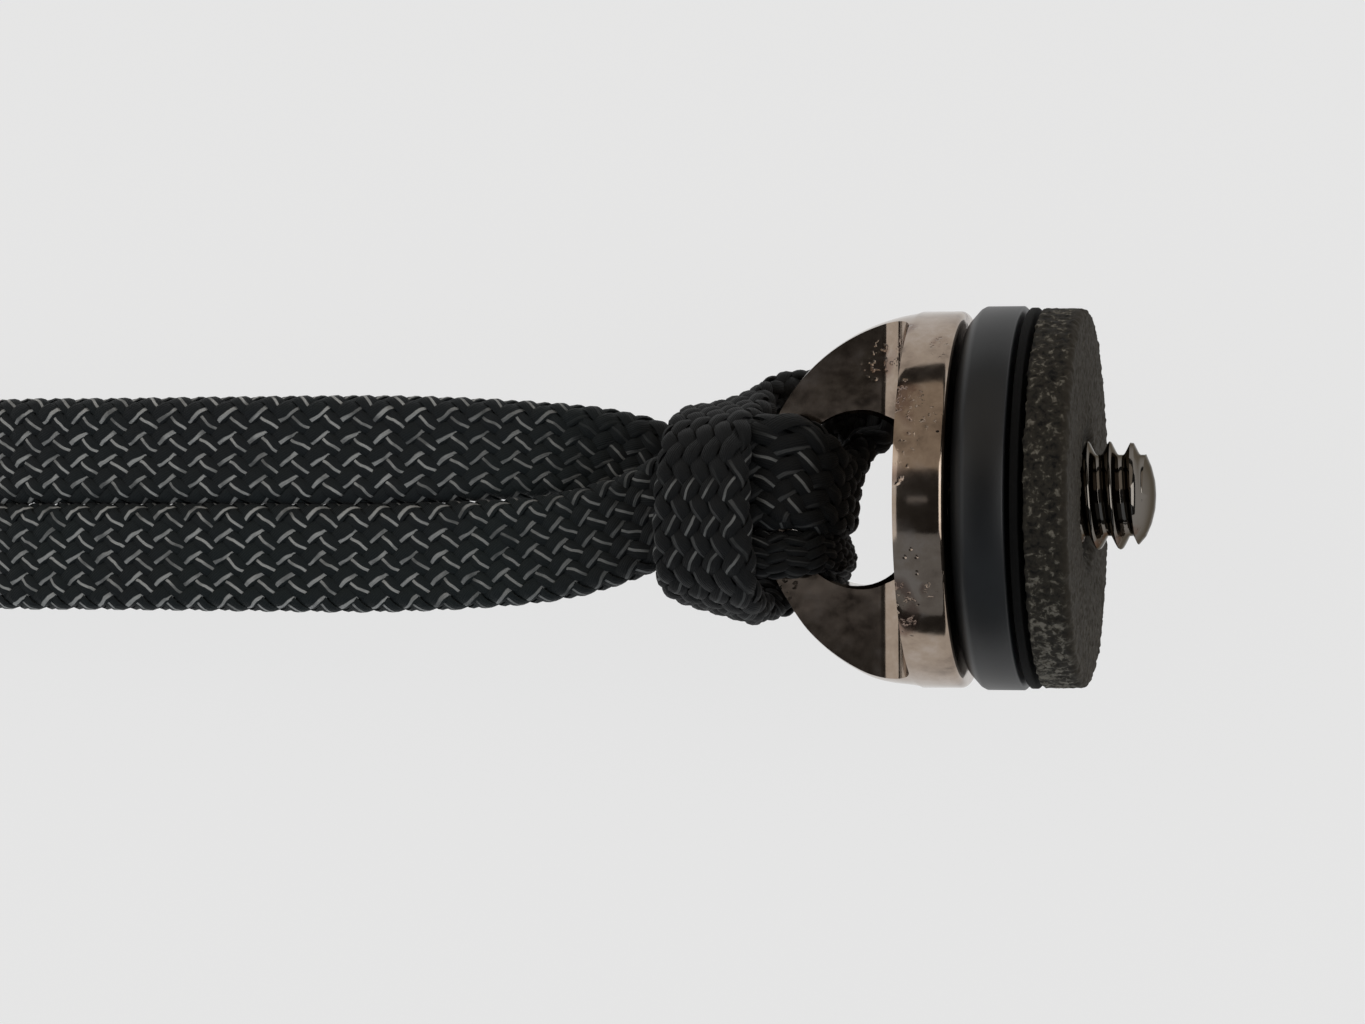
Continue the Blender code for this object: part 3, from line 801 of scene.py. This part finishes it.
def strapRoute(s):
    # evenly spaced stations along the strap: centre, width direction, up direction, width and thickness
    table = [
        (*st[:3], *Vector(st[3]).normalized(), st[4] * s["width"], st[5] * s["thickness"]) for st in strapStations(s)
    ]
    fine = splineRow(np.array(table), s["splineSteps"])
    closed = np.vstack([fine, fine[:1]])
    along = np.concatenate([[0.0], np.cumsum(np.linalg.norm(np.diff(closed[:, :3], axis=0), axis=1))])
    count = s["routeSteps"]
    even = np.arange(count) * along[-1] / count
    rows = np.stack([np.interp(even, along, closed[:, k]) for k in range(closed.shape[1])], axis=1)
    spread = s["smoothing"]
    window = np.hanning(2 * spread + 1)
    window /= window.sum()
    padded = np.vstack([rows[-spread:], rows, rows[:spread]])
    rows = np.stack([np.convolve(padded[:, k], window, "valid") for k in range(rows.shape[1])], axis=1)
    centre = rows[:, :3] + np.array((flangeFace, 0.0, axisHeight))
    ahead = unit(np.roll(centre, -1, axis=0) - np.roll(centre, 1, axis=0))
    wide = rows[:, 3:6]
    wide = unit(wide - ahead * (wide * ahead).sum(axis=1, keepdims=True))
    return {"length": along[-1], "centre": centre, "wide": wide, "up": np.cross(ahead, wide), "size": rows[:, 6:8]}


def routeAt(route, z):
    count = len(route["centre"])
    spot = (z / route["length"]) % 1.0 * count
    low = np.floor(spot).astype(int) % count
    share = (spot - np.floor(spot))[:, None]
    high = (low + 1) % count
    return [route[key][low] * (1 - share) + route[key][high] * share for key in ("centre", "wide", "up", "size")]


def stadium(u, wide, thick):
    # a point and its outward direction on the flat tube's outline, u from 0 to 1 round it from one edge
    r = thick / 2
    flat = wide - thick
    whole = 2 * flat + math.tau * r
    d = (u % 1.0) * whole
    quarter = math.pi * r / 2
    marks = [quarter, quarter + flat, 3 * quarter + flat, 3 * quarter + 2 * flat]
    turn = np.select(
        [d < marks[0], d < marks[1], d < marks[2], d < marks[3]],
        [d / r, math.pi / 2, math.pi / 2 + (d - marks[1]) / r, 1.5 * math.pi],
        1.5 * math.pi + (d - marks[3]) / r,
    )
    middle = np.select(
        [d < marks[0], d < marks[1], d < marks[2], d < marks[3]],
        [flat / 2, flat / 2 - (d - marks[0]), -flat / 2, -flat / 2 + (d - marks[2])],
        flat / 2,
    )
    nx, ny = np.cos(turn), np.sin(turn)
    return middle + r * nx, r * ny, nx, ny, whole


def alongSteps(s, length):
    # sample places along the loop, closer together where the strap shows in the photograph
    step = length / s["crossings"]
    places = []
    for k in range(s["crossings"]):
        share = (k + 0.5) / s["crossings"]
        parts = s["fineSteps"] if s["fineStart"] < share < s["fineEnd"] else s["plainSteps"]
        places += [step * (k + i / parts) for i in range(parts)]
    return np.array(places + [length])


def strandPoints(s, route, z, number, hand):
    # the middle line of one strand of the braid, its outward direction and how far it is squeezed
    step = route["length"] / s["crossings"]
    centre, wide, up, size = routeAt(route, z)
    upper, lower = s["rowShift"]
    share = z / route["length"]
    turned = np.interp(share, (0.0, 0.25, 0.45, 0.54, 0.75, 1.0), (0.0, upper, upper, lower, lower, 0.0))
    z = z - s["alongShift"]
    inset = 2 * (s["weaveHeight"] + s["strandHalfHeight"])
    u = number / s["carriers"] + hand * z / (2 * s["carriers"] * step) + turned
    x, y, nx, ny, whole = stadium(u, size[:, 0] - inset, size[:, 1] - inset)
    rest = 2 * (s["width"] - s["thickness"]) + math.pi * (s["thickness"] - inset)
    weave = s["weaveHeight"] * np.cos(math.pi * z / step + (0.0 if hand > 0 else math.pi))
    out = wide * nx[:, None] + up * ny[:, None]
    return centre + wide * x[:, None] + up * y[:, None] + out * weave[:, None], out, whole / rest


def makeStrands(s, route, name, hand, numbers, material):
    # each strand is a grid bent into a flattened tube and closed on itself
    z = alongSteps(s, route["length"])
    sides = s["strandSides"]
    bm = bmesh.new()
    for _ in numbers:
        bmesh.ops.create_grid(bm, x_segments=len(z) - 1, y_segments=sides, size=1.0)
    mesh = bpy.data.meshes.new(name)
    bm.to_mesh(mesh)
    bm.free()
    spots = []
    maps = []
    fades = []
    turn = math.tau * np.arange(sides + 1) / sides
    for number in numbers:
        line, out, squeeze = strandPoints(s, route, z, number, hand)
        ahead = unit(np.vstack([line[1:], line[1:2]]) - np.vstack([line[-2:-1], line[:-1]]))
        out = unit(out - ahead * (out * ahead).sum(axis=1, keepdims=True))
        across = np.cross(ahead, out)
        halfWide = s["strandHalfWidth"] * squeeze**0.8
        ring = (
            line[None]
            + across[None] * (np.cos(turn)[:, None] * halfWide[None])[..., None]
            + out[None] * (np.sin(turn)[:, None] * s["strandHalfHeight"])[..., None]
        )
        spots.append(ring.reshape(-1, 3))
        flatU = np.broadcast_to(z[None] * 1000.0 + number * 7.3, ring.shape[:2])
        flatV = np.broadcast_to((np.arange(sides + 1) / sides)[:, None], ring.shape[:2])
        flatV = np.where(z[None] > s["tracerSwitch"] * route["length"], 0.5 - flatV, flatV)
        maps.append(np.stack([flatU, flatV], axis=-1).reshape(-1, 2))
        fades.append(np.broadcast_to(tracerFade(line, hand)[None], ring.shape[:2]).reshape(-1))
    spots = np.concatenate(spots)
    maps = np.concatenate(maps)
    mesh.vertices.foreach_set("co", spots.astype(np.float32).ravel())
    corners = np.empty(len(mesh.loops), dtype=np.int32)
    mesh.loops.foreach_get("vertex_index", corners)
    mesh.uv_layers.new(name="yarn").data.foreach_set("uv", maps[corners].astype(np.float32).ravel())
    fade = mesh.attributes.new("tracer", "FLOAT", "POINT")
    fade.data.foreach_set("value", np.concatenate(fades).astype(np.float32))
    mesh.update()
    bm = bmesh.new()
    bm.from_mesh(mesh)
    bpy.data.meshes.remove(mesh)
    bmesh.ops.remove_doubles(bm, verts=bm.verts, dist=2e-7)
    bmesh.ops.recalc_face_normals(bm, faces=bm.faces)
    finishPiece(name, bm, material, "braided_strap", 80.0)


# where the pale tracer hardly shows: centre X, Y and half sizes in mm from the flange's face, and how much it fades
darkPatches = (
    (-15.6, 3.9, 4.0, 2.9, 1.0),
    (-11.0, 6.3, 3.0, 3.0, 1.0),
    (-6.2, 4.4, 2.6, 2.4, 1.0),
    (-6.9, 0.6, 1.6, 3.6, 0.95),
    (-8.6, -3.8, 3.6, 2.0, 0.85),
    (-21.6, 4.6, 3.2, 1.5, 0.9),
    (-13.4, -6.2, 5.0, 1.7, 0.7),
)


def tracerFade(line, hand):
    x = (line[:, 0] - flangeFace) * 1000.0
    y = line[:, 1] * 1000.0
    shown = np.interp(x, strap["tracerAlong"], strap["tracerShown"][0 if hand > 0 else 1])
    for centreX, centreY, halfX, halfY, amount in darkPatches:
        away = np.hypot((x - centreX) / halfX, (y - centreY) / halfY)
        shown *= 1.0 - amount * np.clip((1.15 - away) * 3.0, 0.0, 1.0)
    return shown


def makeCore(s, route, material):
    # a filling inside the braid, so that no light shows between its strands; its near-black colour is painted shade
    steps = s["coreSteps"]
    sides = s["coreSides"]
    z = np.arange(steps) * route["length"] / steps
    centre, wide, up, size = routeAt(route, z)
    shrink = 4 * s["strandHalfHeight"] + 2 * s["weaveHeight"]
    rings = []
    for k in range(sides):
        x, y, _, _, _ = stadium(np.full(len(z), k / sides), size[:, 0] - shrink, size[:, 1] - shrink)
        rings.append(centre + wide * x[:, None] + up * y[:, None])
    rings = np.stack(rings + rings[:1])
    rings = np.concatenate([rings, rings[:, :1]], axis=1)
    bm = bmesh.new()
    bmesh.ops.create_grid(bm, x_segments=steps, y_segments=sides, size=1.0)
    for vert, spot in zip(bm.verts, rings.reshape(-1, 3)):
        vert.co = spot
    bmesh.ops.remove_doubles(bm, verts=bm.verts, dist=2e-7)
    bmesh.ops.recalc_face_normals(bm, faces=bm.faces)
    finishPiece("braidCore", bm, material, "braided_strap", 80.0)


def makeYarn(name, tracerPlace, tracerHalf):
    # Textured polyester yarn: matt black filaments, with one grey tracer yarn along each strand.
    material, tree, shader = newMaterial(name, 0.72, Specular_IOR_Level=0.3, Sheen_Weight=0.05, Sheen_Roughness=0.5)
    uv = addNode(tree, "ShaderNodeUVMap", {"uv_map": "yarn"})
    split = addNode(tree, "ShaderNodeSeparateXYZ", links={"Vector": uv.outputs["UV"]})
    drift = addNode(
        tree, "ShaderNodeTexNoise", {"noise_dimensions": "1D"}, {"Scale": 0.8, "Detail": 1.0},
        {"W": split.outputs["X"]},
    )
    wobble = addNode(
        tree, "ShaderNodeMapRange",
        values={"From Min": 0.3, "From Max": 0.7, "To Min": tracerPlace - 0.03, "To Max": tracerPlace + 0.03},
        links={"Value": drift.outputs["Fac"]},
    )
    off = addNode(
        tree, "ShaderNodeMath", {"operation": "SUBTRACT"}, None, {0: split.outputs["Y"], 1: wobble.outputs["Result"]}
    )
    away = addNode(tree, "ShaderNodeMath", {"operation": "ABSOLUTE"}, None, {0: off.outputs["Value"]})
    band = addNode(
        tree, "ShaderNodeMapRange", {"interpolation_type": "SMOOTHSTEP"},
        {"From Min": tracerHalf, "From Max": tracerHalf * 0.55, "To Min": 0.0, "To Max": 1.0},
        {"Value": away.outputs["Value"]},
    )
    fade = addNode(tree, "ShaderNodeAttribute", {"attribute_name": "tracer"})
    where = addNode(tree, "ShaderNodeTexCoord").outputs["Object"]
    wear = addNode(tree, "ShaderNodeTexNoise", values={"Scale": 700.0, "Detail": 2.0}, links={"Vector": where})
    unevenness = addNode(
        tree, "ShaderNodeMapRange", values={"From Min": 0.32, "From Max": 0.55, "To Min": 0.35, "To Max": 1.0},
        links={"Value": wear.outputs["Fac"]},
    )
    shown = addNode(
        tree, "ShaderNodeMath", {"operation": "MULTIPLY"}, None, {0: band.outputs["Result"], 1: fade.outputs["Fac"]}
    )
    shown = addNode(
        tree, "ShaderNodeMath", {"operation": "MULTIPLY"}, None,
        {0: shown.outputs["Value"], 1: unevenness.outputs["Result"]},
    )
    tint = addNode(tree, "ShaderNodeTexNoise", values={"Scale": 90.0, "Detail": 1.0}, links={"Vector": where})
    black = setRamp(
        addNode(tree, "ShaderNodeValToRGB", links={"Fac": tint.outputs["Fac"]}), ((0.38, "192224"), (0.62, "1B2023"))
    )
    # painted shade: the yarn is painted darker round the hitch, fading in from 28 to 17 mm before the flange's face
    along = addNode(tree, "ShaderNodeSeparateXYZ", links={"Vector": where})
    zoneMask = addNode(
        tree, "ShaderNodeMapRange", values={"From Min": flangeFace - 0.028, "From Max": flangeFace - 0.017},
        links={"Value": along.outputs["X"]},
    )
    black = addNode(
        tree, "ShaderNodeMix", {"data_type": "RGBA"}, {7: hexColour("0D1012")},
        {0: zoneMask.outputs["Result"], 6: black.outputs["Color"]},
    )
    colour = addNode(
        tree, "ShaderNodeMix", {"data_type": "RGBA"}, {7: hexColour("B8BAB9")},
        {0: shown.outputs["Value"], 6: black.outputs[2]},
    )
    tree.links.new(colour.outputs[2], shader.inputs["Base Color"])
    # filaments: 22 ridges round a strand, laid on a slight twist
    lay = addNode(
        tree, "ShaderNodeMath", {"operation": "MULTIPLY_ADD"}, {1: 22.0},
        {0: split.outputs["Y"], 2: split.outputs["X"]},
    )
    turns = addNode(tree, "ShaderNodeMath", {"operation": "MULTIPLY"}, {1: math.tau}, {0: lay.outputs["Value"]})
    ridge = addNode(tree, "ShaderNodeMath", {"operation": "SINE"}, None, {0: turns.outputs["Value"]})
    bump = addNode(
        tree, "ShaderNodeBump", values={"Strength": 0.35, "Distance": 0.00004},
        links={"Height": ridge.outputs["Value"]},
    )
    tree.links.new(bump.outputs["Normal"], shader.inputs["Normal"])
    return material


def makeCoreYarn():
    # Core yarns: the same polyester, painted darker than the strands as painted shade between them.
    material, tree, shader = newMaterial("polyester core in painted shade", 0.9)
    where = addNode(tree, "ShaderNodeTexCoord").outputs["Object"]
    grain = addNode(tree, "ShaderNodeTexNoise", values={"Scale": 2500.0}, links={"Vector": where})
    # painted shade: near black, darker than the strands' own yarn
    tone = setRamp(
        addNode(tree, "ShaderNodeValToRGB", links={"Fac": grain.outputs["Fac"]}), ((0.3, "080809"), (0.7, "101112"))
    )
    tree.links.new(tone.outputs["Color"], shader.inputs["Base Color"])
    return material


route = strapRoute(strap)
print("strap length mm", round(route["length"] * 1000, 1))
wideTracer = makeYarn("braided polyester yarn, short tracer", 0.134, 0.054)
thinTracer = makeYarn("braided polyester yarn, long tracer", 0.25, 0.034)
half = strap["carriers"] // 2
makeStrands(strap, route, "braidRightA", 1.0, range(half), thinTracer)
makeStrands(strap, route, "braidRightB", 1.0, range(half, 2 * half), thinTracer)
makeStrands(strap, route, "braidLeftA", -1.0, range(half), wideTracer)
makeStrands(strap, route, "braidLeftB", -1.0, range(half, 2 * half), wideTracer)
makeCore(strap, route, makeCoreYarn())
print("strap braided")
